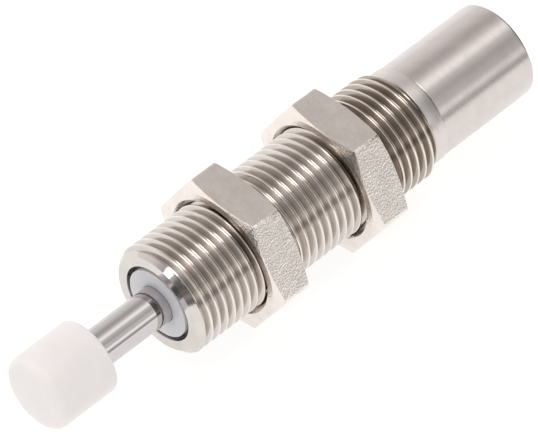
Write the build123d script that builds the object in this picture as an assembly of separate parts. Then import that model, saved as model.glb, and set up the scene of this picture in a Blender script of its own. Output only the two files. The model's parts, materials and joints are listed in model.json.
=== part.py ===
from build123d import *
from math import sqrt
import os

# Miniature hydraulic shock absorber with a screwed housing, two lock nuts and a plastic buffer.
# The axis is X. The origin is the centre of the housing's front face, which is the stop face.
# The rear lies towards +X, the rod and its buffer towards -X, and the nuts' flats face up and down.
# All sizes are in millimetres.

# Thread of the housing, plain at its outer diameter here
thread_d = 11.9
thread_pitch = 1.0
thread_depth_per_pitch = 0.6134
rim_chamfer = 0.65

# Housing, from the front face to the rear face, with walls counted inwards from the thread's root
sleeve_length = 34.2
relief_length = 1.6
barrel_length = 12.3
sleeve_wall = 1.137
spigot_cover = 0.587
seam_step = 0.087
seam_chamfer = 0.08
spigot_length = 3.7
mouth_chamfer = 0.15
barrel_edge = 0.3

# Rod and buffer
rod_d = 4.0
rod_projection = 9.0
stroke = 8.0
buffer_d = 8.0
buffer_length = 7.2
buffer_front_radius = 1.0
buffer_rear_chamfer = 0.25
buffer_stem_d = 2.8
buffer_stem_length = 4.6
stem_groove_depth = 0.3
stem_groove_length = 1.0
stem_point = 0.5

# Lock nuts, 14.8 mm across the flats
nut_wall = 1.45
nut_thickness = 4.0
nut_face_inset = 0.2
nut_corner_drop = 0.44
nut_countersink = 0.45
front_nut_from_face = 8.3
nut_gap = 9.5

# Front bearing, its spring ring and the rod seal
mouth_gap = 0.45
ring_setback = 1.0
ring_thickness = 0.6
ring_groove_depth = 0.4
ring_opening = 50.0
flange_thickness = 1.4
seal_length = 2.2
seal_heel = 0.9
seal_lip = 0.45

# Rod guide and accumulator
guide_head_length = 4.0
guide_waist_length = 8.0
guide_waist_wall = 0.87
guide_collar_length = 1.0
guide_nose_length = 1.0
foam_end_gap = 0.2

# Static seal rings, whose round section is drawn with a few flat sides
guide_o_ring_section = 1.0
barrel_o_ring_section = 0.6
o_ring_room = 1.3
o_ring_sides = 8

# Pressure tube, the oil spaces round it and its oil holes
oil_space = 0.7
tail_space = 0.25
tube_wall = 0.75
return_port_d = 0.7
return_port_count = 2
orifice_d = 0.5
orifice_count = 5
orifice_turn = 72.0

# Piston, check ring and what holds them
rod_end_d = 2.0
piston_length = 2.4
piston_port_d = 0.8
piston_port_count = 4
piston_slot_width = 1.0
piston_slot_depth = 1.0
hub_wall = 0.43
check_ring_thickness = 0.8
check_ring_gap = 0.15
check_float = 0.3
seat_thickness = 0.6
seat_gap = 0.2
seat_notch_width = 1.0
seat_notch_depth = 0.6
piston_nut_wall = 0.6
piston_nut_thickness = 1.2
rod_end_spare = 0.3

# Return spring, whose round wire is drawn with a few flat sides, and the base that carries it
spring_wire_d = 0.5
spring_wire_sides = 6
spring_coils = 8
base_flange = 0.8
base_plug = 1.2
base_pin_gap = 0.35
base_pin_length = 1.0
base_slot_width = 1.0
base_slot_depth = 0.4

# Filling port in the rear wall
fill_passage_d = 0.8
fill_passage_length = 0.5
fill_thread_d = 2.5
fill_ball_d = 1.5
fill_screw_length = 1.4
fill_screw_floor = 0.6
fill_screw_recess = 0.2
fill_socket_across_flats = 1.3

# Clearances, all on the radius
thread_fit = 0.05
seat_fit = 0.02
rod_fit = 0.03
piston_fit = 0.05
spring_fit = 0.2
foam_fit = 0.05

# Radii that several pieces share
thread_r = thread_d / 2
root_r = thread_r - thread_depth_per_pitch * thread_pitch
bore_r = root_r - sleeve_wall
spigot_r = root_r - spigot_cover
barrel_r = root_r - seam_step
tube_r = bore_r - oil_space
tube_bore_r = tube_r - tube_wall
barrel_bore_r = tube_r + tail_space
boss_r = bore_r - mouth_gap
ring_groove_r = bore_r + ring_groove_depth
rod_r = rod_d / 2
rod_bore_r = rod_r + rod_fit
rod_end_r = rod_end_d / 2
end_bore_r = rod_end_r + seat_fit
hub_r = end_bore_r + hub_wall
guide_waist_r = rod_bore_r + guide_waist_wall
piston_r = tube_bore_r - piston_fit
stem_r = buffer_stem_d / 2
spring_outer_r = tube_bore_r - spring_fit
fill_thread_r = fill_thread_d / 2
nut_across_flats = thread_d + 2 * nut_wall

# Places along the axis, each from the face that the piece seats on
thread_end = sleeve_length - relief_length
spigot_front = sleeve_length - spigot_length
rear_face = sleeve_length + barrel_length
fill_screw_rear = rear_face - fill_screw_recess
fill_screw_front = fill_screw_rear - fill_screw_length
fill_ball_centre = fill_screw_front - fill_ball_d / 2
fill_seat_point = fill_ball_centre - sqrt(2) * fill_ball_d / 2
fill_seat_front = fill_seat_point + fill_passage_d / 2
barrel_floor = fill_seat_front - fill_passage_length
ring_rear = ring_setback + ring_thickness
seal_front = ring_rear + flange_thickness
guide_front = seal_front + seal_length
waist_front = guide_front + guide_head_length
waist_rear = waist_front + guide_waist_length
tube_front = waist_rear + guide_collar_length
nose_end = tube_front + guide_nose_length
piston_rear = nose_end + piston_length
seat_front = piston_rear + check_ring_thickness + check_float
seat_rear = seat_front + seat_thickness
piston_nut_rear = seat_rear + piston_nut_thickness
tube_rear = barrel_floor - base_flange
base_front = tube_rear - base_plug
buffer_rear = -rod_projection
buffer_front = buffer_rear - buffer_length
rear_nut_from_face = front_nut_from_face + nut_thickness + nut_gap


def turned(corners):
    """A solid turned about the axis from its half outline of (place, radius) corners."""
    outline = Polyline(*corners, close=True)
    return revolve(make_face(outline), Axis.X)


def rod_between(start, end, radius):
    """A plain round bar on the axis."""
    return turned([(start, 0), (start, radius), (end, radius), (end, 0)])


def tube_between(start, end, outer, inner):
    """A plain tube on the axis."""
    return turned([(start, inner), (start, outer), (end, outer), (end, inner)])


def hexagon_between(start, end, across_flats):
    """A hexagon bar on the axis, with two flats facing up and down."""
    section = RegularPolygon(across_flats / 2, 6, major_radius=False)
    return extrude(Plane.YZ.offset(start) * section, end - start)


def axial_holes(start, end, diameter, circle_d, count):
    """Round bars along the axis, evenly spaced on a circle."""
    bars = Cylinder(diameter / 2, end - start, align=(Align.CENTER, Align.CENTER, Align.MIN))
    spots = PolarLocations(circle_d / 2, count)
    return [Plane.YZ.offset(start) * spot * bars for spot in spots]


def radial_hole(place, diameter, reach, angle):
    """A round bar that leaves the axis at an angle about it."""
    bar = Cylinder(diameter / 2, reach, align=(Align.CENTER, Align.CENTER, Align.MIN))
    return Pos(X=place) * Rot(X=angle) * bar


def cross_slots(start, end, width, reach):
    """Two bars that cross on the axis, one level and one upright."""
    middle = (start + end) / 2
    level = Pos(X=middle) * Box(end - start, 2 * reach, width)
    return [level, Rot(X=90) * level]


def o_ring(middle, outer, section):
    """A seal ring in a groove, with its outside at the given radius."""
    flat_to_flat = RegularPolygon(section / 2, o_ring_sides, major_radius=False, rotation=180 / o_ring_sides)
    return revolve(Pos(middle, outer - section / 2) * flat_to_flat, Axis.X)


def threaded_sleeve():
    """Front part of the housing: screwed outside, bored through, grooved for the spring ring."""
    run_out = thread_end - (thread_r - root_r)
    return turned([
        (0, bore_r + mouth_chamfer),
        (0, thread_r - rim_chamfer),
        (rim_chamfer, thread_r),
        (run_out, thread_r),
        (thread_end, root_r),
        (sleeve_length - seam_chamfer, root_r),
        (sleeve_length, root_r - seam_chamfer),
        (sleeve_length, spigot_r),
        (spigot_front, spigot_r),
        (spigot_front, bore_r),
        (ring_rear, bore_r),
        (ring_rear, ring_groove_r),
        (ring_setback, ring_groove_r),
        (ring_setback, bore_r),
        (mouth_chamfer, bore_r),
    ])


def rear_barrel():
    """Smooth rear part of the housing: a cup whose spigot is pressed into the sleeve."""
    outside = spigot_r - seat_fit
    groove_floor = outside - barrel_o_ring_section
    groove_middle = sleeve_length - spigot_length / 2
    groove_half = barrel_o_ring_section * o_ring_room / 2
    seat_length = fill_thread_r - fill_passage_d / 2
    return turned([
        (spigot_front, barrel_bore_r),
        (spigot_front, outside),
        (groove_middle - groove_half, outside),
        (groove_middle - groove_half, groove_floor),
        (groove_middle + groove_half, groove_floor),
        (groove_middle + groove_half, outside),
        (sleeve_length, outside),
        (sleeve_length, barrel_r - seam_chamfer),
        (sleeve_length + seam_chamfer, barrel_r),
        (rear_face - barrel_edge, barrel_r),
        (rear_face, barrel_r - barrel_edge),
        (rear_face, fill_thread_r),
        (fill_seat_front + seat_length, fill_thread_r),
        (fill_seat_front, fill_passage_d / 2),
        (barrel_floor, fill_passage_d / 2),
        (barrel_floor, barrel_bore_r),
    ])


def barrel_o_ring():
    """Seal ring in the groove of the barrel's spigot."""
    middle = sleeve_length - spigot_length / 2
    section = barrel_o_ring_section
    return o_ring(middle, spigot_r - seat_fit, section)


def front_bearing():
    """Plastic rod bearing: a boss flush with the front face and a flange behind the spring ring."""
    flange_r = bore_r - seat_fit
    return turned([
        (0, rod_bore_r),
        (0, boss_r),
        (ring_rear, boss_r),
        (ring_rear, flange_r),
        (seal_front, flange_r),
        (seal_front, rod_bore_r),
    ])


def retaining_ring():
    """Open spring ring in the groove of the housing's mouth, with its gap at the bottom."""
    ring = tube_between(ring_setback, ring_rear, ring_groove_r - seat_fit, boss_r + seat_fit)
    reach = 2 * ring_groove_r
    wedge = CenterArc((0, 0), reach, -90 - ring_opening / 2, ring_opening)
    sides = [Line((0, 0), wedge @ 0), Line(wedge @ 1, (0, 0))]
    section = Plane.YZ.offset(ring_setback) * make_face([wedge, *sides])
    return ring - extrude(section, ring_thickness)


def rod_seal():
    """Lip seal on the rod, with its lips towards the oil."""
    outer = bore_r - seat_fit
    inner = rod_bore_r
    return turned([
        (seal_front, inner),
        (seal_front, outer),
        (guide_front, outer),
        (guide_front, outer - seal_lip),
        (seal_front + seal_heel, (inner + outer) / 2),
        (guide_front, inner + seal_lip),
        (guide_front, inner),
    ])


def guide_bush():
    """Rod guide: a sealed head, a waist under the accumulator and a nose in the pressure tube."""
    head_r = bore_r - seat_fit
    groove_floor = head_r - guide_o_ring_section
    groove_middle = guide_front + guide_head_length / 2
    groove_half = guide_o_ring_section * o_ring_room / 2
    return turned([
        (guide_front, rod_bore_r),
        (guide_front, head_r),
        (groove_middle - groove_half, head_r),
        (groove_middle - groove_half, groove_floor),
        (groove_middle + groove_half, groove_floor),
        (groove_middle + groove_half, head_r),
        (waist_front, head_r),
        (waist_front, guide_waist_r),
        (waist_rear, guide_waist_r),
        (waist_rear, tube_r),
        (tube_front, tube_r),
        (tube_front, tube_bore_r - seat_fit),
        (nose_end, tube_bore_r - seat_fit),
        (nose_end, rod_bore_r),
    ])


def guide_o_ring():
    """Seal ring in the groove of the guide's head."""
    middle = guide_front + guide_head_length / 2
    return o_ring(middle, bore_r - seat_fit, guide_o_ring_section)


def accumulator_foam():
    """Closed-cell foam sleeve round the guide's waist."""
    outer = bore_r - foam_fit
    inner = guide_waist_r + foam_fit
    return tube_between(waist_front + foam_end_gap, waist_rear - foam_end_gap, outer, inner)


def orifice_places():
    """Places of the metering holes, closer together towards the end of the stroke.

    They are closed one by one, so that the open area falls with the square root of what is
    left of the stroke, which slows a load evenly.
    """
    places = []
    for number in range(1, orifice_count + 1):
        open_share = (orifice_count - number + 0.5) / orifice_count
        places.append(piston_rear + stroke * (1 - open_share ** 2))
    return places


def pressure_tube():
    """Inner cylinder with its ring of return ports and its spiral row of metering holes."""
    tube = tube_between(tube_front, tube_rear, tube_r, tube_bore_r)
    port_place = nose_end + piston_slot_depth / 2
    turn = 360 / return_port_count
    for number in range(return_port_count):
        tube -= radial_hole(port_place, return_port_d, 2 * tube_r, number * turn)
    for number, place in enumerate(orifice_places()):
        tube -= radial_hole(place, orifice_d, 2 * tube_r, number * orifice_turn)
    return tube


def tube_base():
    """Plug that closes the tube's rear, centres the spring and lets oil in from the filling port."""
    pin_r = spring_outer_r - spring_wire_d - base_pin_gap
    base = turned([
        (base_front - base_pin_length, 0),
        (base_front - base_pin_length, pin_r),
        (base_front, pin_r),
        (base_front, tube_bore_r - seat_fit),
        (tube_rear, tube_bore_r - seat_fit),
        (tube_rear, tube_r),
        (barrel_floor, tube_r),
        (barrel_floor, 0),
    ])
    slots = cross_slots(barrel_floor - base_slot_depth, barrel_floor, base_slot_width, 2 * tube_r)
    return base - slots


def fill_ball():
    """Steel ball on the 45 degree seat of the filling port."""
    return Pos(X=fill_ball_centre) * Sphere(fill_ball_d / 2)


def fill_screw():
    """Socket set screw that holds the filling ball down."""
    screw = rod_between(fill_screw_front, fill_screw_rear, fill_thread_r - seat_fit)
    socket_floor = fill_screw_front + fill_screw_floor
    return screw - hexagon_between(socket_floor, fill_screw_rear, fill_socket_across_flats)


def piston_rod():
    """Rod with a grooved stem for the buffer and a thin rear end for the piston."""
    stem_end = buffer_rear - buffer_stem_length
    groove_rear = buffer_rear - buffer_stem_length / 2
    groove_front = groove_rear - stem_groove_length
    groove_r = stem_r - stem_groove_depth
    return turned([
        (stem_end, 0),
        (stem_end, stem_r - stem_point / 2),
        (stem_end + stem_point, stem_r),
        (groove_front, stem_r),
        (groove_front, groove_r),
        (groove_rear, groove_r),
        (groove_rear, stem_r),
        (buffer_rear, stem_r),
        (buffer_rear, rod_r),
        (nose_end, rod_r),
        (nose_end, rod_end_r),
        (piston_nut_rear + rod_end_spare, rod_end_r),
        (piston_nut_rear + rod_end_spare, 0),
    ])


def buffer():
    """Plastic cap with a rounded striking edge, snapped into the groove of the rod's stem."""
    socket_end = buffer_rear - buffer_stem_length - seat_fit
    bead_rear = buffer_rear - buffer_stem_length / 2 - seat_fit
    bead_front = bead_rear - stem_groove_length + 2 * seat_fit
    socket_r = stem_r + seat_fit
    bead_r = socket_r - stem_groove_depth
    cap = turned([
        (buffer_front, 0),
        (buffer_front, buffer_d / 2),
        (buffer_rear - buffer_rear_chamfer, buffer_d / 2),
        (buffer_rear, buffer_d / 2 - buffer_rear_chamfer),
        (buffer_rear, socket_r),
        (bead_rear, socket_r),
        (bead_rear, bead_r),
        (bead_front, bead_r),
        (bead_front, socket_r),
        (socket_end, socket_r),
        (socket_end, 0),
    ])
    striking_edge = cap.edges().filter_by(GeomType.CIRCLE).group_by(Axis.X)[0]
    return fillet(striking_edge, buffer_front_radius)


def piston_head():
    """Piston with axial ports, cross slots in its front face and a hub for the check ring."""
    head = turned([
        (nose_end, end_bore_r),
        (nose_end, piston_r),
        (piston_rear, piston_r),
        (piston_rear, hub_r),
        (seat_front, hub_r),
        (seat_front, end_bore_r),
    ])
    holes = axial_holes(nose_end, piston_rear, piston_port_d, hub_r + piston_r, piston_port_count)
    slots = cross_slots(nose_end, nose_end + piston_slot_depth, piston_slot_width, 2 * piston_r)
    return head - holes - slots


def check_ring():
    """Flat ring that floats on the piston's hub and shuts the ports on impact."""
    outer = tube_bore_r - check_ring_gap
    inner = hub_r + piston_fit
    return tube_between(piston_rear, piston_rear + check_ring_thickness, outer, inner)


def spring_seat():
    """Washer behind the check ring, notched at its rim so that oil passes."""
    outer = tube_bore_r - seat_gap
    washer = tube_between(seat_front, seat_rear, outer, end_bore_r)
    core = tube_between(seat_front, seat_rear, outer - seat_notch_depth, 0)
    notches = cross_slots(seat_front, seat_rear, seat_notch_width, 2 * outer)
    return washer - [notch - core for notch in notches]


def piston_nut():
    """Small nut on the rod's rear end."""
    nut = hexagon_between(seat_rear, piston_nut_rear, rod_end_d + 2 * piston_nut_wall)
    return nut - rod_between(seat_rear, piston_nut_rear, end_bore_r)


def return_spring():
    """Coil spring between the spring seat and the tube's base, ground flat at both ends."""
    length = base_front - seat_rear
    wire_r = spring_wire_d / 2
    path = Helix(length / spring_coils, length, spring_outer_r - wire_r)
    section = Plane(origin=path @ 0, z_dir=path % 0) * RegularPolygon(wire_r, spring_wire_sides)
    wire = sweep(section, path, is_frenet=True)
    placed = Pos(X=seat_rear) * Rot(Y=90) * wire
    return placed & tube_between(seat_rear, base_front, tube_bore_r, 0)


def lock_nut(front):
    """Thin hexagon nut, chamfered at its corners on both faces and countersunk at its thread."""
    rear = front + nut_thickness
    corner_r = nut_across_flats / sqrt(3)
    face_r = nut_across_flats / 2 - nut_face_inset
    blank = hexagon_between(front, rear, nut_across_flats)
    chamfered = turned([
        (front, 0),
        (front, face_r),
        (front + nut_corner_drop, corner_r),
        (rear - nut_corner_drop, corner_r),
        (rear, face_r),
        (rear, 0),
    ])
    nut_bore_r = thread_r + thread_fit
    hole = turned([
        (front, 0),
        (front, nut_bore_r + nut_countersink),
        (front + nut_countersink, nut_bore_r),
        (rear - nut_countersink, nut_bore_r),
        (rear, nut_bore_r + nut_countersink),
        (rear, 0),
    ])
    return (blank & chamfered) - hole


nodes = {
    "threaded_sleeve": threaded_sleeve(),
    "rear_barrel": rear_barrel(),
    "barrel_o_ring": barrel_o_ring(),
    "front_bearing": front_bearing(),
    "retaining_ring": retaining_ring(),
    "rod_seal": rod_seal(),
    "guide_bush": guide_bush(),
    "guide_o_ring": guide_o_ring(),
    "accumulator_foam": accumulator_foam(),
    "pressure_tube": pressure_tube(),
    "tube_base": tube_base(),
    "fill_ball": fill_ball(),
    "fill_screw": fill_screw(),
    "piston_rod": piston_rod(),
    "buffer": buffer(),
    "piston_head": piston_head(),
    "check_ring": check_ring(),
    "spring_seat": spring_seat(),
    "piston_nut": piston_nut(),
    "return_spring": return_spring(),
    "front_lock_nut": lock_nut(front_nut_from_face),
    "rear_lock_nut": lock_nut(rear_nut_from_face),
}

os.makedirs("parts", exist_ok=True)
for name, shape in nodes.items():
    export_step(shape, f"parts/{name}.step")
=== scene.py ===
"""Studio picture of a miniature hydraulic shock absorber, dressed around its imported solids.

The part's sizes are in millimetres until a finished mesh is scaled to metres, and the studio's
are in metres. The axis is X, the housing's front face is at X 0, and the rod with its buffer
points towards -X.
"""

import json
import logging
import math
from collections.abc import Iterable, Sequence
from dataclasses import dataclass
from enum import Enum

import bmesh
import bpy
from bmesh.types import BMEdge, BMesh, BMVert
from bpy.types import Material, Node, NodeSocket, NodeTree, Object
from mathutils import Matrix, Vector


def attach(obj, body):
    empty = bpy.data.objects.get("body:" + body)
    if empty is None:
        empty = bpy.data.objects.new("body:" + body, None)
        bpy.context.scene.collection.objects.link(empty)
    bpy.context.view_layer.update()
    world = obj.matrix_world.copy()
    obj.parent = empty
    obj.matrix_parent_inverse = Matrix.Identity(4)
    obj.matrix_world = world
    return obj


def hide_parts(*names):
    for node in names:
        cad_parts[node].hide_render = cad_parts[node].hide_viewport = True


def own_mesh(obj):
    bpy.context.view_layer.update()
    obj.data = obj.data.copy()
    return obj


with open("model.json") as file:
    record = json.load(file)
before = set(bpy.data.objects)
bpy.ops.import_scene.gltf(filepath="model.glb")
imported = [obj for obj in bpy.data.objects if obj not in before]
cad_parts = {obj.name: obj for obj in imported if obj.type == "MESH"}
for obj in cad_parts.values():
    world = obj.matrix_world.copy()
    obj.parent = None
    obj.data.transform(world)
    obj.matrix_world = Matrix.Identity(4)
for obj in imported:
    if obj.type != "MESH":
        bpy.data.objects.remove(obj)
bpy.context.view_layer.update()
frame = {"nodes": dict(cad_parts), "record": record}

log = logging.getLogger("shock_absorber")

MM = 0.001
FULL_TURN = 2 * math.pi
SIXTH_TURN = math.radians(60)
MERGE_REACH = 5e-4
FLOOR_HEIGHT = -7.4

Colour = tuple[float, float, float]
Corner = tuple[float, float, float]
Point = tuple[float, float, float]
Span = tuple[float, float]
Inputs = dict[str | int, NodeSocket | float | Sequence[float]]


class Body(Enum):
    """The bodies of the mechanism that the pieces ride on."""

    HOUSING = "housing"
    ROD = "rod"
    FRONT_NUT = "front_nut"
    REAR_NUT = "rear_nut"


class Grain(Enum):
    """How a metal face was left by its last operation."""

    TURNED = "turned"
    BLASTED = "blasted"
    POLISHED = "polished"


# Mesh work


def radius_of(vert: BMVert) -> float:
    """Distance of a vertex from the axis."""
    return math.hypot(vert.co.y, vert.co.z)


def set_radius(vert: BMVert, radius: float) -> None:
    """Moves a vertex straight out or in to a radius.

    Args:
        vert: the vertex.
        radius: its new distance from the axis.
    """
    scale = radius / radius_of(vert)
    vert.co.y *= scale
    vert.co.z *= scale


def hexagon_reach(half_flats: float, angle: float) -> float:
    """Distance from the axis to a hexagon's side, at an angle from the middle of a flat."""
    off = (angle + SIXTH_TURN / 2) % SIXTH_TURN - SIXTH_TURN / 2
    return half_flats / math.cos(off)


def everything(shell: BMesh) -> list:
    """All vertices, edges and faces of a mesh."""
    return [*shell.verts, *shell.edges, *shell.faces]


def draw_outline(shell: BMesh, corners: Sequence[Corner], closed: bool) -> list:
    """Draws the half outline of a turned part, with its eased corners.

    Args:
        shell: the mesh that takes the outline.
        corners: place, radius and easing of each corner.
        closed: whether the last corner is joined to the first.

    Returns:
        The outline's vertices and edges.
    """
    old = set(shell.verts)
    verts = [shell.verts.new((place, 0.0, radius)) for place, radius, _ in corners]
    pairs = list(zip(verts, verts[1:]))
    if closed:
        pairs.append((verts[-1], verts[0]))
    for pair in pairs:
        shell.edges.new(pair)
    for vert, (_, _, easing) in zip(verts, corners):
        if easing:
            bmesh.ops.bevel(
                shell, geom=[vert], offset=easing, offset_type="OFFSET", segments=4, profile=0.5,
                affect="VERTICES", material=-1,
            )
    drawn = [vert for vert in shell.verts if vert not in old]
    edges = {edge for vert in drawn for edge in vert.link_edges}
    return drawn + list(edges)


def spin(
    shell: BMesh, geom: list, steps: int, angle: float = FULL_TURN, advance: float = 0.0,
    merge: bool = False,
) -> None:
    """Turns geometry about the axis, and leaves its path as faces.

    Args:
        shell: the mesh.
        geom: the vertices, edges and faces that turn.
        steps: number of steps in the turn.
        angle: the whole turn.
        advance: how far each step goes along the axis.
        merge: whether the last step is joined to the first.
    """
    bmesh.ops.spin(
        shell, geom=geom, cent=(0, 0, 0), axis=(1, 0, 0), dvec=(advance, 0, 0), angle=angle,
        space=Matrix.Identity(4), steps=steps, use_merge=merge,
    )


def spin_outline(
    shell: BMesh, corners: Sequence[Corner], steps: int = 192, closed: bool = True
) -> None:
    """Turns a half outline about the axis, in as many steps as the part gets facets."""
    spin(shell, draw_outline(shell, corners, closed), steps, merge=True)


def cut_across(
    shell: BMesh, place: float, clear_front: bool = False, clear_rear: bool = False
) -> None:
    """Cuts a mesh along a plane square to the axis.

    Args:
        shell: the mesh.
        place: where the plane crosses the axis.
        clear_front: whether what lies before the plane is taken away.
        clear_rear: whether what lies behind the plane is taken away.
    """
    bmesh.ops.bisect_plane(
        shell, geom=everything(shell), dist=1e-4, plane_co=(place, 0, 0), plane_no=(1, 0, 0),
        clear_inner=clear_front, clear_outer=clear_rear,
    )


def draw_ring(shell: BMesh, place: float, radius: float, steps: int, filled: bool) -> list[BMEdge]:
    """Draws a circle round the axis in an empty mesh.

    Args:
        shell: the mesh.
        place: the circle's place on the axis.
        radius: its radius.
        steps: its number of sides.
        filled: whether it gets a face.

    Returns:
        Its edges.
    """
    upright = Matrix.Rotation(math.radians(90), 3, "Y")
    bmesh.ops.create_circle(shell, segments=steps, radius=radius, cap_ends=filled)
    bmesh.ops.rotate(shell, verts=shell.verts, cent=(0, 0, 0), matrix=upright)
    bmesh.ops.translate(shell, verts=shell.verts, vec=(place, 0, 0))
    return list(shell.edges)


def extrude_ring(shell: BMesh, edges: list[BMEdge]) -> tuple[list[BMVert], list[BMEdge]]:
    """Starts a new stretch of wall from a ring.

    Args:
        shell: the mesh.
        edges: the ring's edges.

    Returns:
        The new ring's vertices, which still lie on the old ones, and its edges.
    """
    made = bmesh.ops.extrude_edge_only(shell, edges=edges)["geom"]
    verts = [item for item in made if isinstance(item, BMVert)]
    return verts, [item for item in made if isinstance(item, BMEdge)]


def rim_at(shell: BMesh, place: float, radius: float, reach: float = 0.02) -> list[BMEdge]:
    """Open edges of a mesh that lie on one circle about the axis.

    Args:
        shell: the mesh.
        place: the circle's place on the axis.
        radius: the circle's radius.
        reach: how far from the circle an edge may lie.

    Returns:
        The edges.
    """
    return [
        edge
        for edge in shell.edges
        if edge.is_boundary
        and all(
            abs(vert.co.x - place) < reach and abs(radius_of(vert) - radius) < reach
            for vert in edge.verts
        )
    ]


# Finishes


class Wiring:
    """A node tree, with short ways to add nodes and feed them."""

    def __init__(self, tree: NodeTree) -> None:
        """Takes the tree that the nodes go into."""
        self.tree = tree

    def feed(self, node: Node, inputs: Inputs) -> None:
        """Links sockets to a node's inputs, and sets those that get a plain value.

        Args:
            node: the node.
            inputs: what goes in, by the inputs' names or numbers.
        """
        for key, value in inputs.items():
            if isinstance(value, NodeSocket):
                self.tree.links.new(value, node.inputs[key])
            else:
                node.inputs[key].default_value = value

    def made(self, kind: str, output: str | int, inputs: Inputs, **settings: str) -> NodeSocket:
        """Adds a node.

        Args:
            kind: its type.
            output: the name or number of the output that is wanted.
            inputs: what goes in, by the inputs' names or numbers.
            **settings: its properties.

        Returns:
            The output.
        """
        node = self.tree.nodes.new(kind)
        for key, value in settings.items():
            setattr(node, key, value)
        self.feed(node, inputs)
        return node.outputs[output]

    def worked(self, operation: str, first: NodeSocket, second: NodeSocket | float) -> NodeSocket:
        """A value worked out from two others, the second of which may be a plain number."""
        return self.made("ShaderNodeMath", "Value", {0: first, 1: second}, operation=operation)

    def times(self, first: NodeSocket, second: NodeSocket | float) -> NodeSocket:
        """Product of two values."""
        return self.worked("MULTIPLY", first, second)

    def ranged(
        self, value: NodeSocket, limits: Span, results: Span, curve: str = "LINEAR"
    ) -> NodeSocket:
        """Maps a value's range to another, with clamped ends.

        Args:
            value: the value.
            limits: its lowest and highest counted value.
            results: what these become.
            curve: how the value goes from one to the other.

        Returns:
            The mapped value.
        """
        names = ("From Min", "From Max", "To Min", "To Max")
        inputs = {"Value": value, **dict(zip(names, (*limits, *results)))}
        return self.made("ShaderNodeMapRange", "Result", inputs, interpolation_type=curve)


class NodeWork(Wiring):
    """Node tree of one finish, with patterns measured in millimetres on the piece itself."""

    NOISE_SPAN = (0.3, 0.7)
    CLOUD_SPAN = (0.35, 0.65)

    def __init__(self, name: str) -> None:
        """Starts an empty finish.

        Args:
            name: the material's name.
        """
        self.material = bpy.data.materials.new(name)
        self.material.use_nodes = True
        super().__init__(self.material.node_tree)
        self.shader = self.tree.nodes["Principled BSDF"]
        self.place = self.made("ShaderNodeTexCoord", "Object", {})
        self.place = self.stretched((1 / MM,) * 3)

    def stretched(self, scale: Sequence[float]) -> NodeSocket:
        """The piece's coordinates, stretched along each axis."""
        return self.made("ShaderNodeMapping", "Vector", {"Vector": self.place, "Scale": scale})

    def noise(self, scale: float, detail: float, vector: NodeSocket | None = None) -> NodeSocket:
        """A noise pattern, by its features per millimetre and its number of finer layers."""
        inputs = {"Scale": scale, "Detail": detail, "Vector": vector or self.place}
        return self.made("ShaderNodeTexNoise", "Fac", inputs)

    def cells(self, scale: float) -> NodeSocket:
        """Distance to the nearest of many scattered points, in cells of 1 / scale millimetres."""
        return self.made("ShaderNodeTexVoronoi", "Distance", {"Scale": scale, "Vector": self.place})

    def radius(self) -> NodeSocket:
        """Distance from the axis, in millimetres."""
        flat = self.stretched((0, 1, 1))
        return self.made("ShaderNodeVectorMath", "Value", {0: flat}, operation="LENGTH")

    def along(self) -> NodeSocket:
        """Place along the axis, in millimetres."""
        return self.made("ShaderNodeSeparateXYZ", "X", {"Vector": self.place})

    def mixed(self, share: NodeSocket, low: Colour, high: Colour) -> NodeSocket:
        """A colour between two, by share."""
        inputs = {"Factor": share, 6: (*low, 1), 7: (*high, 1)}
        return self.made("ShaderNodeMix", 2, inputs, data_type="RGBA")

    def shaded(self, colour: NodeSocket, share: NodeSocket, tint: Colour) -> NodeSocket:
        """A colour multiplied by a tint, as much as the share says."""
        inputs = {"Factor": share, 6: colour, 7: (*tint, 1)}
        return self.made("ShaderNodeMix", 2, inputs, data_type="RGBA", blend_type="MULTIPLY")

    def bumps(self, layers: Iterable[tuple[NodeSocket, float, float]]) -> None:
        """Lays bump patterns over each other on the shader's normal.

        Args:
            layers: height, strength and depth in millimetres of each pattern.
        """
        below = {}
        for height, strength, depth in layers:
            inputs = {"Height": height, "Strength": strength, "Distance": depth * MM, **below}
            below = {"Normal": self.made("ShaderNodeBump", "Normal", inputs)}
        self.feed(self.shader, below)


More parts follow.
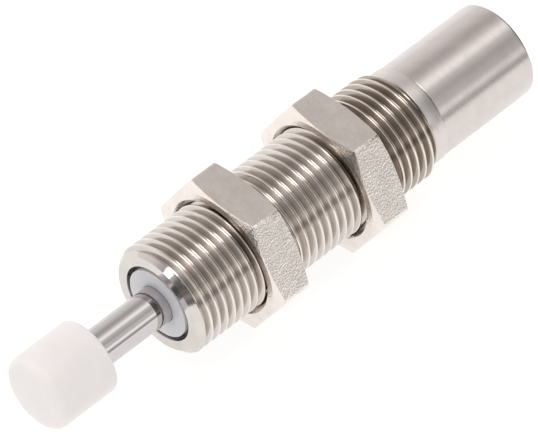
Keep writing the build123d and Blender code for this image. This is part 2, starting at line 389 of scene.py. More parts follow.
@dataclass(frozen=True)
class Metal:
    """A metal finish: its colour, gloss and the grain that its last operation left.

    The root colour is painted shade that darkens what lies deep in a form. The crest tint is a
    painted highlight on its crests, and the shade tint a painted shadow that darkens what lies
    below these from the shade span on. The faced stretch ends at a place on the axis, and the
    satin one starts at another; there the satin tint is a painted sheen that brightens the colour.
    """

    name: str
    colour: Colour
    dull_colour: Colour
    roughness: Span
    grain: Grain
    grain_size: float = 0.08
    grain_depth: float = 0.002
    painted_root_shade: Colour | None = None
    root_radii: Span = (5.34, 5.95)
    root_span: Span = (0.7, 32.2)
    root_fade: float = 0.3
    painted_crest_highlight: Colour | None = None
    crest_radii: Span = (5.87, 5.92)
    painted_shadow_tint: Colour = (1.0, 1.0, 1.0)
    painted_shadow_span: Span = (0.0, 0.0)
    faced_to: float | None = None
    faced_share: float = 0.45
    satin_from: float | None = None
    satin_share: float = 2.4
    painted_satin_sheen: Colour = (1.0, 1.0, 1.0)
    stretch_fade: float = 0.1

    def build(self) -> Material:
        """Makes the material."""
        work = NodeWork(self.name)
        cloud = work.ranged(work.noise(0.6, 5), work.CLOUD_SPAN, (0, 1))
        colour = work.mixed(cloud, self.dull_colour, self.colour)
        # Painted shade: the colour darkens towards the roots of a form, where shade falls deep in it.
        if self.painted_root_shade:
            depth = work.ranged(work.radius(), self.root_radii, (1, 0))
            front, rear = self.root_span
            inside = work.times(
                work.ranged(work.along(), (front, front + self.root_fade), (0, 1)),
                work.ranged(work.along(), (rear, rear + self.root_fade), (1, 0)),
            )
            colour = work.shaded(colour, work.times(depth, inside), self.painted_root_shade)
            if self.painted_crest_highlight:
                height = work.ranged(work.radius(), self.crest_radii, (0, 1))
                flank = work.ranged(work.radius(), self.crest_radii, (1, 0))
                # Painted shadow: the flanks are darkened from the shade span on.
                behind = work.times(work.ranged(work.along(), self.painted_shadow_span, (0, 1)), inside)
                colour = work.shaded(colour, work.times(flank, behind), self.painted_shadow_tint)
                # Painted highlight: the crests are brightened.
                colour = work.shaded(colour, work.times(height, inside), self.painted_crest_highlight)
        # Painted sheen: the colour is brightened on the satin stretch; its rougher gloss there is the real
        # finish.
        if self.satin_from is not None:
            colour = work.shaded(colour, self.changed(work, self.satin_from, (0, 1)), self.painted_satin_sheen)
        work.feed(work.shader, {"Metallic": 1.0, "Base Color": colour, "Roughness": self.rough(work)})
        work.bumps(self.layers(work))
        return work.material

    def rough(self, work: NodeWork) -> NodeSocket:
        """Roughness that changes with the grain and along the axis.

        Args:
            work: the finish's node tree.

        Returns:
            The roughness.
        """
        streaks = work.noise(1.0, 4, work.stretched((1 / self.grain_size, 0.3, 0.3)))
        rough = work.ranged(streaks, work.NOISE_SPAN, self.roughness)
        if self.faced_to is not None:
            rough = work.times(rough, self.changed(work, self.faced_to, (self.faced_share, 1)))
        if self.satin_from is not None:
            rough = work.times(rough, self.changed(work, self.satin_from, (1, self.satin_share)))
        return rough

    def changed(self, work: NodeWork, place: float, values: Span) -> NodeSocket:
        """A value that changes from the first to the second at a place on the axis."""
        return work.ranged(work.along(), (place, place + self.stretch_fade), values)

    def layers(self, work: NodeWork) -> list[tuple[NodeSocket, float, float]]:
        """The bump patterns of the grain, as height, strength and depth.

        Args:
            work: the finish's node tree.

        Returns:
            The patterns.
        """
        frequency = 1 / self.grain_size
        if self.grain is Grain.BLASTED:
            return [
                (work.noise(frequency, 1), 1.0, self.grain_depth),
                (work.cells(frequency * 0.8), 1.0, self.grain_depth * 0.5),
            ]
        rings = work.noise(1.0, 3, work.stretched((frequency, 0.05, 0.05)))
        if self.grain is Grain.POLISHED:
            return [(rings, 0.3, self.grain_depth)]
        fine = work.noise(1.0, 4, work.stretched((frequency * 3, 0.4, 0.4)))
        return [(rings, 1.0, self.grain_depth), (fine, 0.6, self.grain_depth * 0.6)]


@dataclass(frozen=True)
class Plastic:
    """A moulded or turned plastic finish."""

    name: str
    colour: Colour
    shade_colour: Colour
    roughness: Span
    translucency: float
    bump_depth: float = 0.002
    refraction: float = 1.48
    scatter: Colour = (1.0, 0.85, 0.75)
    scatter_depth: float = 1.2

    def build(self) -> Material:
        """Makes the material."""
        work = NodeWork(self.name)
        cloud = work.ranged(work.noise(0.35, 4), work.CLOUD_SPAN, (0, 1))
        work.feed(work.shader, {
            "Base Color": work.mixed(cloud, self.shade_colour, self.colour),
            "Roughness": work.ranged(work.noise(6, 3), work.NOISE_SPAN, self.roughness),
            "IOR": self.refraction,
            "Subsurface Weight": self.translucency,
            "Subsurface Radius": self.scatter,
            "Subsurface Scale": self.scatter_depth * MM,
        })
        work.bumps([
            (work.noise(5, 4), 0.5, self.bump_depth),
            (work.noise(0.8, 2), 0.4, self.bump_depth * 4),
        ])
        return work.material


@dataclass(frozen=True)
class SoftFiller:
    """Rubber or foam, dull and dark."""

    name: str
    colour: Colour
    cell: float
    bump_depth: float
    pale_share: float = 1.6

    def build(self) -> Material:
        """Makes the material."""
        work = NodeWork(self.name)
        cells = work.cells(1 / self.cell)
        share = work.ranged(cells, (0, 0.8), (0, 1))
        paler = tuple(channel * self.pale_share for channel in self.colour)
        work.feed(work.shader, {
            "Base Color": work.mixed(share, self.colour, paler),
            "Roughness": work.ranged(share, (0, 1), (0.5, 0.75)),
        })
        work.bumps([(cells, 0.8, self.bump_depth)])
        return work.material


class Finishes:
    """All finishes of the part, by their material slots in the record."""

    def __init__(self) -> None:
        """Builds the materials."""
        plans = {
            "thread_steel": Metal(
                "cut_thread_steel", (0.68, 0.642, 0.617), (0.63, 0.593, 0.568), (0.1, 0.2), Grain.TURNED,
                grain_size=0.07, grain_depth=0.004,
                # Painted shade in the thread roots, a painted highlight on the crests, a painted shadow on
                # the thread behind the rear nut and a painted sheen on the relief band.
                painted_root_shade=(0.8, 0.765, 0.73), root_radii=(5.36, 5.84), painted_crest_highlight=(1.24, 1.225, 1.2),
                painted_shadow_tint=(0.69, 0.655, 0.61), painted_shadow_span=(22.0, 26.0),
                faced_to=0.7, satin_from=32.65, painted_satin_sheen=(1.1, 1.085, 1.09),
            ),
            "barrel_steel": Metal(
                "satin_turned_steel", (0.675, 0.626, 0.608), (0.64, 0.592, 0.576), (0.18, 0.27), Grain.TURNED,
                grain_size=0.17, grain_depth=0.0018,
                # Painted shade: a dark line at the seam with the threaded sleeve, where shadow falls between
                # the parts.
                painted_root_shade=(0.1, 0.092, 0.088), root_radii=(5.14, 5.23), root_span=(33.6, 34.6),
            ),
            "nut_steel": Metal(
                "grainy_nickel", (0.87, 0.81, 0.768), (0.80, 0.742, 0.703), (0.15, 0.24), Grain.BLASTED,
                grain_size=0.18, grain_depth=0.019,
                # Painted shade in the nut's bore and countersink, round the thread.
                painted_root_shade=(0.4, 0.35, 0.31), root_radii=(6.0, 6.45), root_span=(0.0, 40.0),
            ),
            "rod_steel": Metal(
                "polished_rod_steel", (0.61, 0.582, 0.585), (0.59, 0.562, 0.565), (0.03, 0.06),
                Grain.POLISHED, grain_size=0.1, grain_depth=0.0003,
            ),
            "inner_steel": Metal(
                "turned_inner_steel", (0.62, 0.61, 0.60), (0.55, 0.54, 0.53), (0.3, 0.4), Grain.TURNED,
            ),
            "spring_steel": Metal(
                "dark_spring_steel", (0.12, 0.115, 0.11), (0.07, 0.068, 0.066), (0.35, 0.5), Grain.TURNED,
            ),
            "bronze": Metal(
                "turned_bronze", (0.70, 0.50, 0.26), (0.62, 0.43, 0.21), (0.3, 0.4), Grain.TURNED,
            ),
            "buffer_plastic": Plastic(
                "natural_white_plastic", (0.9, 0.86, 0.858), (0.87, 0.83, 0.828), (0.42, 0.52), 0.35,
            ),
            "bearing_plastic": Plastic(
                "cool_white_plastic", (0.71, 0.715, 0.75), (0.67, 0.675, 0.71), (0.3, 0.4), 0.7,
            ),
            "seal_rubber": SoftFiller("black_rubber", (0.02, 0.02, 0.02), 0.3, 0.004),
            "foam": SoftFiller("closed_cell_foam", (0.05, 0.05, 0.055), 0.25, 0.05),
        }
        self.by_slot = {slot: plan.build() for slot, plan in plans.items()}


# Pieces


@dataclass
class Shape:
    """A finished mesh on its way into the scene."""

    name: str
    body: Body
    slot: str
    replaces: tuple[str, ...]
    crease: float = 28.0

    def place(self, shell: BMesh, finishes: Finishes) -> Object:
        """Closes the mesh, scales it to metres and makes it a piece of the scene.

        Args:
            shell: the mesh in millimetres, which is freed.
            finishes: the part's finishes.

        Returns:
            The new piece.
        """
        bmesh.ops.remove_doubles(shell, verts=shell.verts, dist=MERGE_REACH)
        bmesh.ops.recalc_face_normals(shell, faces=shell.faces)
        bmesh.ops.scale(shell, verts=shell.verts, vec=(MM, MM, MM))
        open_edges = sum(not edge.is_manifold for edge in shell.edges)
        for face in shell.faces:
            face.smooth = True
        mesh = bpy.data.meshes.new(self.name)
        shell.to_mesh(mesh)
        shell.free()
        mesh.set_sharp_from_angle(angle=math.radians(self.crease))
        mesh.materials.append(finishes.by_slot[self.slot])
        piece = bpy.data.objects.new(self.name, mesh)
        bpy.context.scene.collection.objects.link(piece)
        weights = piece.modifiers.new("even_shading", "WEIGHTED_NORMAL")
        weights.keep_sharp = True
        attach(piece, self.body.value)
        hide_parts(*self.replaces)
        log.info("%s: %d faces, %d open edges", self.name, len(mesh.polygons), open_edges)
        return piece


class InnerParts:
    """The sealed parts that keep the shape of their solids."""

    def dress(self, finishes: Finishes) -> None:
        """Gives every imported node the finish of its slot.

        Args:
            finishes: the part's finishes.
        """
        for entry in frame["record"]["subparts"]:
            node = frame["nodes"][entry["node"]]
            node.data.materials.clear()
            node.data.materials.append(finishes.by_slot[entry["material_slot"]])


@dataclass
class ThreadedHousing:
    """Front part of the housing, with its fine thread cut as a real helix.

    The form shares are the places on one pitch, in pitches from the crest's middle, at which
    the thread's form has its points.
    """

    crest_r: float = 5.95
    root_r: float = 5.3366
    pitch: float = 1.0
    crest_flat: float = 0.15
    crest_ease: float = 0.035
    root_curve: float = 2.2
    form_shares: tuple[float, ...] = (0.5, 0.46, 0.42, 0.36, 0.25, 0.16, 0.115, 0.095, 0.075, 0.055, 0.03)
    crest_start: float = 0.3
    spare_turns: int = 2
    steps_per_turn: int = 96
    weld_reach: float = 2e-3
    rim_chamfer: float = 0.65
    rim_lip: float = 0.12
    thread_end: float = 32.6
    run_out: float = 0.75
    end_gap: float = 0.1
    sleeve_end: float = 34.2
    seam_ease: float = 0.08
    spigot_front: float = 30.5
    spigot_r: float = 4.75
    bore_r: float = 4.2
    groove_r: float = 4.6
    groove_front: float = 1.0
    groove_rear: float = 1.6
    mouth_ease: float = 0.03

    def thread_radius(self, share: float) -> float:
        """Radius of the thread's form.

        Args:
            share: distance from the crest's middle, in pitches, from -0.5 to 0.5.

        Returns:
            The radius.
        """
        away = abs(share) * self.pitch
        half_crest = self.crest_flat / 2
        flank = self.crest_r - (away - half_crest) * math.sqrt(3)
        into_round = away - half_crest + self.crest_ease
        if into_round <= 0:
            return self.crest_r
        if into_round <= 2 * self.crest_ease:
            return self.crest_r - math.sqrt(3) * into_round**2 / (4 * self.crest_ease)
        from_middle = self.pitch / 2 - away
        root_round = self.root_r + from_middle**2 * self.root_curve
        return max(flank, root_round)

    def envelope(self, place: float) -> float:
        """Largest radius that the chamfered rim and the run-out leave.

        Args:
            place: the place on the axis.

        Returns:
            The radius.
        """
        front = self.crest_r - self.rim_chamfer + max(place, 0.0)
        rear_share = max(self.thread_end - place, 0.0) / self.run_out
        rear = self.root_r + (self.crest_r - self.root_r) * rear_share
        return min(self.crest_r, front, rear)

    def cut_thread(self, shell: BMesh) -> None:
        """Winds the thread's form along the housing and trims it to the rim and the run-out.

        Args:
            shell: the empty mesh that takes the thread.
        """
        shares = [-share for share in self.form_shares] + list(reversed(self.form_shares))
        turns = math.ceil(self.thread_end / self.pitch) + self.spare_turns
        start = self.crest_start - self.spare_turns * self.pitch
        verts = [
            shell.verts.new((start + share * self.pitch, 0.0, self.thread_radius(share)))
            for share in shares
        ]
        edges = [shell.edges.new(pair) for pair in zip(verts, verts[1:])]
        spin(shell, verts + edges, self.steps_per_turn, advance=self.pitch / self.steps_per_turn)
        turn = everything(shell)
        for number in range(1, turns):
            made = bmesh.ops.duplicate(shell, geom=turn)["geom"]
            moved = [item for item in made if isinstance(item, BMVert)]
            bmesh.ops.translate(shell, verts=moved, vec=(number * self.pitch, 0, 0))
        bmesh.ops.remove_doubles(shell, verts=shell.verts, dist=self.weld_reach)
        for place in (0.0, self.rim_chamfer, self.thread_end - self.run_out, self.thread_end):
            cut_across(shell, place)
        for vert in shell.verts:
            limit = self.envelope(vert.co.x)
            if radius_of(vert) > limit:
                set_radius(vert, limit)
        cut_across(shell, 0.0, clear_front=True)
        cut_across(shell, self.thread_end, clear_rear=True)

    def build(self, finishes: Finishes) -> None:
        """Builds the housing's front part and puts it in the scene.

        Args:
            finishes: the part's finishes.
        """
        thread = bmesh.new()
        self.cut_thread(thread)
        cut_form = bpy.data.meshes.new("cut_form")
        thread.to_mesh(cut_form)
        thread.free()
        shell = bmesh.new()
        face_r = self.crest_r - self.rim_chamfer
        lip = (0.0, face_r - self.rim_lip)
        relief = (self.thread_end + self.end_gap, self.root_r)
        spin_outline(shell, [
            (*relief, 0),
            (self.sleeve_end, self.root_r, self.seam_ease),
            (self.sleeve_end, self.spigot_r, 0),
            (self.spigot_front, self.spigot_r, 0),
            (self.spigot_front, self.bore_r, 0),
            (self.groove_rear, self.bore_r, 0),
            (self.groove_rear, self.groove_r, 0),
            (self.groove_front, self.groove_r, 0),
            (self.groove_front, self.bore_r, self.mouth_ease),
            (0.0, self.bore_r, self.mouth_ease),
            (*lip, 0),
        ], closed=False)
        shell.from_mesh(cut_form)
        bpy.data.meshes.remove(cut_form)
        for near, far in (((self.thread_end, self.root_r), relief), ((0.0, face_r), lip)):
            bmesh.ops.bridge_loops(shell, edges=rim_at(shell, *near) + rim_at(shell, *far))
        shape = Shape("threaded_housing", Body.HOUSING, "thread_steel", ("threaded_sleeve",))
        shape.place(shell, finishes)


@dataclass
class RearBarrel:
    """Smooth rear part of the housing, with its spigot and filling port."""

    outer_r: float = 5.25
    front: float = 34.2
    rear: float = 46.5
    seam_ease: float = 0.12
    rear_ease: float = 0.3
    spigot_front: float = 30.5
    spigot_r: float = 4.73
    groove_r: float = 4.13
    groove_half: float = 0.39
    bore_r: float = 3.75
    floor: float = 42.989
    passage_r: float = 0.4
    port_r: float = 1.25
    port_ease: float = 0.1
    seat_front: float = 43.489

    def build(self, finishes: Finishes) -> None:
        """Builds the barrel and puts it in the scene.

        Args:
            finishes: the part's finishes.
        """
        groove_middle = (self.spigot_front + self.front) / 2
        groove_front = groove_middle - self.groove_half
        groove_rear = groove_middle + self.groove_half
        shell = bmesh.new()
        spin_outline(shell, [
            (self.spigot_front, self.bore_r, 0),
            (self.spigot_front, self.spigot_r, 0),
            (groove_front, self.spigot_r, 0),
            (groove_front, self.groove_r, 0),
            (groove_rear, self.groove_r, 0),
            (groove_rear, self.spigot_r, 0),
            (self.front, self.spigot_r, 0),
            (self.front, self.outer_r, self.seam_ease),
            (self.rear, self.outer_r, self.rear_ease),
            (self.rear, self.port_r, self.port_ease),
            (self.seat_front + self.port_r - self.passage_r, self.port_r, 0),
            (self.seat_front, self.passage_r, 0),
            (self.floor, self.passage_r, 0),
            (self.floor, self.bore_r, 0),
        ])
        shape = Shape("rear_barrel_shell", Body.HOUSING, "barrel_steel", ("rear_barrel",))
        shape.place(shell, finishes)


@dataclass
class LockNut:
    """Thin hexagon nut with chamfered corners and a countersunk bore.

    The corner angle is the least one between faces that meet along the axis, and the edge angle
    the least one round a face, at which the edge between them is eased.
    """

    name: str
    body: Body
    node: str
    front: float
    thickness: float = 4.0
    half_flats: float = 7.4
    face_inset: float = 0.2
    corner_drop: float = 0.44
    corner_ease: float = 0.12
    corner_angle: float = 50.0
    edge_ease: float = 0.05
    edge_angle: float = 30.0
    edge_reach: float = 0.01
    bore_r: float = 6.0
    countersink: float = 0.45
    steps: int = 192
    crease: float = 14.0

    @property
    def face_r(self) -> float:
        """Radius at which the chamfer meets a face."""
        return self.half_flats - self.face_inset

    def side_drop(self, radius: float) -> float:
        """How far the corner chamfer lies behind the face, at a distance from the axis."""
        corner_r = self.half_flats / math.cos(SIXTH_TURN / 2)
        return self.corner_drop * max(radius - self.face_r, 0.0) / (corner_r - self.face_r)

    def ring(
        self, shell: BMesh, edges: list[BMEdge], place: float, radius: float | None, inward: float
    ) -> list[BMEdge]:
        """Draws the wall on from its last ring to a new one.

        Args:
            shell: the mesh.
            edges: the last ring.
            place: the new ring's place on the axis.
            radius: its radius, or None where it follows the hexagon.
            inward: 1 or -1, the way from the nearer face into the nut.

        Returns:
            The new ring.
        """
        verts, edges = extrude_ring(shell, edges)
        for vert in verts:
            angle = math.atan2(vert.co.y, vert.co.z)
            reach = hexagon_reach(self.half_flats, angle) if radius is None else radius
            vert.co.x = place + (inward * self.side_drop(reach) if radius is None else 0.0)
            set_radius(vert, reach)
        return edges

    def build(self, finishes: Finishes) -> None:
        """Builds the nut and puts it in the scene.

        Args:
            finishes: the part's finishes.
        """
        rear = self.front + self.thickness
        wide_r = self.bore_r + self.countersink
        shell = bmesh.new()
        edges = draw_ring(shell, self.front, wide_r, self.steps, filled=False)
        for place, radius, inward in (
            (self.front, self.face_r, 1),
            (self.front, None, 1),
            (rear, None, -1),
            (rear, self.face_r, -1),
            (rear, wide_r, -1),
            (rear - self.countersink, self.bore_r, -1),
            (self.front + self.countersink, self.bore_r, 1),
            (self.front, wide_r, 1),
        ):
            edges = self.ring(shell, edges, place, radius, inward)
        bmesh.ops.remove_doubles(shell, verts=shell.verts, dist=MERGE_REACH)
        bmesh.ops.recalc_face_normals(shell, faces=shell.faces)
        self.ease(shell, math.radians(self.corner_angle), self.corner_ease, along=True)
        self.ease(shell, math.radians(self.edge_angle), self.edge_ease, along=False)
        shape = Shape(self.name, self.body, "nut_steel", (self.node,), self.crease)
        shape.place(shell, finishes)

    def ease(self, shell: BMesh, least: float, width: float, along: bool) -> None:
        """Takes the sharpness off the nut's outer edges.

        Args:
            shell: the mesh.
            least: the smallest angle between faces that counts as an edge.
            width: how much is taken off.
            along: whether the corners along the axis are meant, or the edges round the faces.
        """
        least_r = self.face_r - self.edge_reach
        edges = []
        for edge in shell.edges:
            lies_along = abs((edge.verts[0].co - edge.verts[1].co).x) > self.thickness / 2
            outside = min(radius_of(vert) for vert in edge.verts) > least_r
            if outside and lies_along == along and edge.calc_face_angle(0.0) > least:
                edges.append(edge)
        bmesh.ops.bevel(
            shell, geom=edges, offset=width, offset_type="OFFSET", segments=3, profile=0.5,
            affect="EDGES", material=-1, clamp_overlap=True,
        )


@dataclass
class RodEnd:
    """Polished rod with the plastic buffer on its stem."""

    rod_r: float = 2.0
    shoulder: float = -9.0
    shoulder_ease: float = 0.06
    rod_rear: float = 19.2
    rod_rear_ease: float = 0.05
    thin_r: float = 1.0
    thin_rear: float = 24.8
    thin_rear_ease: float = 0.1
    stem_r: float = 1.4
    stem_front: float = -13.6
    stem_ease: float = 0.4
    groove_r: float = 1.1
    groove_front: float = -12.3
    groove_rear: float = -11.3
    buffer_r: float = 4.0
    buffer_front: float = -16.2
    buffer_ease: float = 1.0
    buffer_rear_ease: float = 0.25
    fit: float = 0.02

    def build(self, finishes: Finishes) -> None:
        """Builds the rod and the buffer and puts them in the scene.

        Args:
            finishes: the part's finishes.
        """
        rod = bmesh.new()
        spin_outline(rod, [
            (self.stem_front, 0, 0),
            (self.stem_front, self.stem_r, self.stem_ease),
            (self.groove_front, self.stem_r, 0),
            (self.groove_front, self.groove_r, 0),
            (self.groove_rear, self.groove_r, 0),
            (self.groove_rear, self.stem_r, 0),
            (self.shoulder, self.stem_r, 0),
            (self.shoulder, self.rod_r, self.shoulder_ease),
            (self.rod_rear, self.rod_r, self.rod_rear_ease),
            (self.rod_rear, self.thin_r, 0),
            (self.thin_rear, self.thin_r, self.thin_rear_ease),
            (self.thin_rear, 0, 0),
        ], closed=False)
        Shape("polished_rod", Body.ROD, "rod_steel", ("piston_rod",)).place(rod, finishes)

        socket_r = self.stem_r + self.fit
        bead_r = self.groove_r + self.fit
        cap = bmesh.new()
        spin_outline(cap, [
            (self.buffer_front, 0, 0),
            (self.buffer_front, self.buffer_r, self.buffer_ease),
            (self.shoulder, self.buffer_r, self.buffer_rear_ease),
            (self.shoulder, socket_r, 0),
            (self.groove_rear - self.fit, socket_r, 0),
            (self.groove_rear - self.fit, bead_r, 0),
            (self.groove_front + self.fit, bead_r, 0),
            (self.groove_front + self.fit, socket_r, 0),
            (self.stem_front - self.fit, socket_r, 0),
            (self.stem_front - self.fit, 0, 0),
        ], closed=False)
        Shape("buffer_cap", Body.ROD, "buffer_plastic", ("buffer",)).place(cap, finishes)


@dataclass
class HousingMouth:
    """Plastic rod bearing and the open spring ring that holds it in the housing."""

    rod_bore_r: float = 2.03
    rod_bore_ease: float = 0.05
    boss_r: float = 3.75
    boss_ease: float = 0.03
    boss_rear: float = 1.6
    flange_r: float = 4.18
    flange_rear: float = 3.0
    ring_front: float = 1.0
    ring_outer_r: float = 4.58
    ring_inner_r: float = 3.77
    ring_ease: float = 0.05
    ring_opening: float = 50.0
    ring_steps: int = 96

    def build(self, finishes: Finishes) -> None:
        """Builds the bearing and the ring and puts them in the scene.

        Args:
            finishes: the part's finishes.
        """
        bearing = bmesh.new()
        spin_outline(bearing, [
            (0, self.rod_bore_r, self.rod_bore_ease),
            (0, self.boss_r, self.boss_ease),
            (self.boss_rear, self.boss_r, 0),
            (self.boss_rear, self.flange_r, 0),
            (self.flange_rear, self.flange_r, 0),
            (self.flange_rear, self.rod_bore_r, 0),
        ])
        boss = Shape("rod_bearing", Body.HOUSING, "bearing_plastic", ("front_bearing",))
        boss.place(bearing, finishes)

        ring = bmesh.new()
        draw_outline(ring, [
            (self.ring_front, self.ring_inner_r, self.ring_ease),
            (self.ring_front, self.ring_outer_r, self.ring_ease),
            (self.boss_rear, self.ring_outer_r, self.ring_ease),
            (self.boss_rear, self.ring_inner_r, self.ring_ease),
        ], closed=True)
        bmesh.ops.contextual_create(ring, geom=list(ring.edges))
        opening = math.radians(self.ring_opening)
        to_opening = Matrix.Rotation(math.pi + opening / 2, 3, "X")
        bmesh.ops.rotate(ring, verts=ring.verts, cent=(0, 0, 0), matrix=to_opening)
        spin(ring, everything(ring), self.ring_steps, FULL_TURN - opening)
        clip = Shape("open_spring_ring", Body.HOUSING, "spring_steel", ("retaining_ring",))
        clip.place(ring, finishes)


@dataclass
class FillingScrew:
    """Socket set screw over the filling ball, sunk in the rear face."""

    front: float = 44.9
    rear: float = 46.3
    outer_r: float = 1.23
    chamfer: float = 0.12
    socket_flats: float = 1.3
    socket_floor: float = 45.5
    lead_depth: float = 0.06
    lead_share: float = 1.25
    steps: int = 96
    crease: float = 20.0

    def build(self, finishes: Finishes) -> None:
        """Builds the screw and puts it in the scene.

        Args:
            finishes: the part's finishes.
        """
        half_socket = self.socket_flats / 2
        shell = bmesh.new()
        edges = draw_ring(shell, self.front, self.outer_r, self.steps, filled=True)
        for place, radius in (
            (self.rear - self.chamfer, self.outer_r),
            (self.rear, self.outer_r - self.chamfer),
            (self.rear, half_socket * self.lead_share),
            (self.rear - self.lead_depth, None),
            (self.socket_floor, None),
        ):
            verts, edges = extrude_ring(shell, edges)
            for vert in verts:
                angle = math.atan2(vert.co.y, vert.co.z)
                vert.co.x = place
                set_radius(vert, radius or hexagon_reach(half_socket, angle))
        bmesh.ops.contextual_create(shell, geom=edges)
        shape = Shape("filling_screw", Body.HOUSING, "inner_steel", ("fill_screw",), self.crease)
        shape.place(shell, finishes)


@dataclass
class ReturnSpring:
    """Coil spring that gives way as the rod goes in, wound here at one fixed length."""

    front: float = 23.3
    rear: float = 40.989
    coil_r: float = 2.3
    wire_r: float = 0.25
    wire_sides: int = 12
    coils: int = 8
    steps_per_coil: int = 48
    stroke: float = 8.0

    def build(self, finishes: Finishes) -> None:
        """Winds the spring and puts it in the scene.

        Args:
            finishes: the part's finishes.
        """
        length = self.rear - self.front
        pitch = length / self.coils
        turns = self.coils + 1
        across = Matrix.Rotation(math.radians(90), 3, "X")
        shell = bmesh.new()
        bmesh.ops.create_circle(shell, segments=self.wire_sides, radius=self.wire_r, cap_ends=False)
        bmesh.ops.rotate(shell, verts=shell.verts, cent=(0, 0, 0), matrix=across)
        bmesh.ops.translate(shell, verts=shell.verts, vec=(self.front - pitch / 2, 0, self.coil_r))
        spin(
            shell, [*shell.verts, *shell.edges], self.steps_per_coil * turns, FULL_TURN * turns,
            advance=pitch / self.steps_per_coil,
        )
        cut_across(shell, self.front, clear_front=True)
        cut_across(shell, self.rear, clear_rear=True)
        open_edges = [edge for edge in shell.edges if edge.is_boundary]
        bmesh.ops.holes_fill(shell, edges=open_edges, sides=0)
        shape = Shape("coil_spring", Body.HOUSING, "spring_steel", ("return_spring",))
        piece = shape.place(shell, finishes)
        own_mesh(piece)


# Studio


@dataclass(frozen=True)
class DarkSide:
    """An unlit side of the studio, round one direction.

    It sets in at the edge's angle from that direction, in degrees, and is as dim as the level
    within the core's.
    """

    middle: Point
    edge: float
    core: float
    level: float


@dataclass(frozen=True)
class Lamp:
    """A round soft lamp that points at the object."""

    name: str
    place: Point
    size: float
    power: float
    mirrored: bool


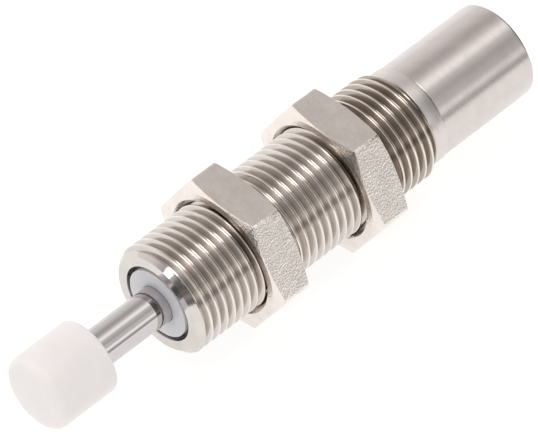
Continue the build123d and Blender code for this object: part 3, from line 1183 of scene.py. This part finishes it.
@dataclass
class Studio:
    """Pale floor, soft light and the camera at the photograph's viewing angle.

    The panels are the light round the object's axis: the angle from straight up towards -Y, in
    degrees, and the brightness there.
    """

    camera_place: Point = (-0.237235, -0.252639, 0.409053)
    camera_right: Point = (0.70776, -0.70645, 0.0)
    camera_up: Point = (0.53213, 0.53311, 0.65778)
    camera_forward: Point = (0.4647, 0.46553, -0.75324)
    lens: float = 378.58
    sensor: float = 36.0
    sight: Span = (0.01, 20)
    floor_size: float = 6.0
    floor_tones: Span = (0.24, 0.26)
    floor_glow: float = 0.88
    lamp_colour: Colour = (1.0, 0.99, 0.975)
    sky_colour: Colour = (1.0, 0.985, 0.965)
    sky_warmth: float = 0.03
    warm_span: Span = (-60, -15)
    panels: tuple[Span, ...] = (
        (-100, 1.0), (-88, 0.98), (-66, 0.9), (-52, 0.78), (-42, 0.63), (-32, 0.535), (-22, 0.61),
        (-12, 0.82), (-4, 1.2), (4, 1.36), (10, 1.2), (16, 0.75), (22, 0.75), (31, 0.58), (40, 0.65),
        (48, 0.8), (56, 0.75), (63, 1.2), (69, 1.4), (75, 0.95), (80, 0.5), (95, 0.46),
    )
    dark_sides: tuple[DarkSide, ...] = (
        DarkSide((-0.6, -0.52, 0.6), 42, 31, 0.24),
        DarkSide((0.97, -0.2, 0.1), 50, 34, 0.1),
    )
    lamps: tuple[Lamp, ...] = (
        Lamp("overhead_panel", (0.0, 0.0, 0.9), 1.2, 1.44, False),
        Lamp("front_panel", (-0.6, -0.5, 0.5), 0.7, 0.765, False),
        Lamp("overhead_lamp", (0.02, 0.0, 0.9), 0.42, 1.44, True),
        Lamp("front_lamp", (-0.76, 0.14, 0.47), 0.2, 0.27, True),
    )

    def build(self) -> None:
        """Sets the floor, the light and the camera."""
        self.lay_floor()
        self.light_sky()
        for lamp in self.lamps:
            self.hang(lamp)
        self.aim_camera()

    def lay_floor(self) -> None:
        """Lays the floor under the nuts' flats."""
        slab = bmesh.new()
        bmesh.ops.create_grid(slab, x_segments=1, y_segments=1, size=self.floor_size / 2)
        bmesh.ops.translate(slab, verts=slab.verts, vec=(0, 0, FLOOR_HEIGHT * MM))
        mesh = bpy.data.meshes.new("studio_floor")
        slab.to_mesh(mesh)
        slab.free()
        work = NodeWork("studio_paper")
        dark, pale = self.floor_tones
        work.feed(work.shader, {
            "Base Color": work.mixed(work.noise(0.01, 2), (dark,) * 3, (pale,) * 3),
            "Roughness": 0.9,
            "Specular IOR Level": 0.1,
            "Emission Color": (*self.lamp_colour, 1),
            "Emission Strength": self.floor_glow,
        })
        mesh.materials.append(work.material)
        floor = bpy.data.objects.new("studio_floor", mesh)
        bpy.context.scene.collection.objects.link(floor)

    def light_sky(self) -> None:
        """Surrounds the object with soft panels, which run along its axis, and the dark sides."""
        world = bpy.data.worlds.new("soft_studio")
        world.use_nodes = True
        bpy.context.scene.world = world
        sky = Wiring(world.node_tree)
        looked = sky.made("ShaderNodeTexCoord", "Generated", {})
        sideways = sky.made("ShaderNodeSeparateXYZ", "Y", {"Vector": looked})
        upwards = sky.made("ShaderNodeSeparateXYZ", "Z", {"Vector": looked})
        angle = sky.worked("ARCTAN2", sky.times(sideways, -1), upwards)
        turn = sky.ranged(angle, (-math.pi, math.pi), (0, 1))
        panels = sky.made("ShaderNodeValToRGB", "Color", {"Fac": turn})
        stops = panels.node.color_ramp
        stops.interpolation = "EASE"
        while len(stops.elements) < len(self.panels):
            stops.elements.new(1.0)
        _, green, blue = self.sky_colour
        first, last = self.warm_span
        for stop, (degrees, value) in zip(stops.elements, self.panels):
            stop.position = (degrees + 180) / 360
            warmth = self.sky_warmth if first < degrees < last else 0.0
            stop.color = (value, value * (green - warmth), value * (blue - warmth), 1)
        light = 1.0
        for side in self.dark_sides:
            facing = {0: looked, 1: Vector(side.middle).normalized()}
            near = sky.made("ShaderNodeVectorMath", "Value", facing, operation="DOT_PRODUCT")
            limits = (math.cos(math.radians(side.edge)), math.cos(math.radians(side.core)))
            light = sky.times(sky.ranged(near, limits, (1.0, side.level), "SMOOTHSTEP"), light)
        sky.feed(world.node_tree.nodes["Background"], {"Color": panels, "Strength": light})

    def hang(self, lamp: Lamp) -> None:
        """Hangs a lamp that fills the shadows.

        Args:
            lamp: the lamp, which shows in the metal only where it is mirrored.
        """
        light = bpy.data.lights.new(lamp.name, "AREA")
        light.shape = "DISK"
        light.size = lamp.size
        light.energy = lamp.power
        light.color = self.lamp_colour
        fitting = bpy.data.objects.new(lamp.name, light)
        fitting.location = lamp.place
        fitting.rotation_euler = (-Vector(lamp.place)).to_track_quat("-Z", "Y").to_euler()
        fitting.visible_glossy = lamp.mirrored
        bpy.context.scene.collection.objects.link(fitting)

    def aim_camera(self) -> None:
        """Puts the camera where the photograph was taken from."""
        lens = bpy.data.cameras.new("studio_camera")
        lens.lens = self.lens
        lens.sensor_width = self.sensor
        lens.clip_start, lens.clip_end = self.sight
        camera = bpy.data.objects.new("studio_camera", lens)
        columns = Matrix((self.camera_right, self.camera_up, -Vector(self.camera_forward))).transposed()
        camera.matrix_world = Matrix.Translation(self.camera_place) @ columns.to_4x4()
        scene = bpy.context.scene
        scene.collection.objects.link(camera)
        scene.camera = camera
        scene.view_settings.view_transform = "Standard"


def main() -> None:
    """Builds the part piece by piece, then the studio."""
    logging.basicConfig(level=logging.INFO, format="%(message)s")
    finishes = Finishes()
    InnerParts().dress(finishes)
    ThreadedHousing().build(finishes)
    RearBarrel().build(finishes)
    LockNut("front_hexagon_nut", Body.FRONT_NUT, "front_lock_nut", 8.3).build(finishes)
    LockNut("rear_hexagon_nut", Body.REAR_NUT, "rear_lock_nut", 21.8).build(finishes)
    RodEnd().build(finishes)
    HousingMouth().build(finishes)
    FillingScrew().build(finishes)
    ReturnSpring().build(finishes)
    Studio().build()


if __name__ == "__main__":
    main()
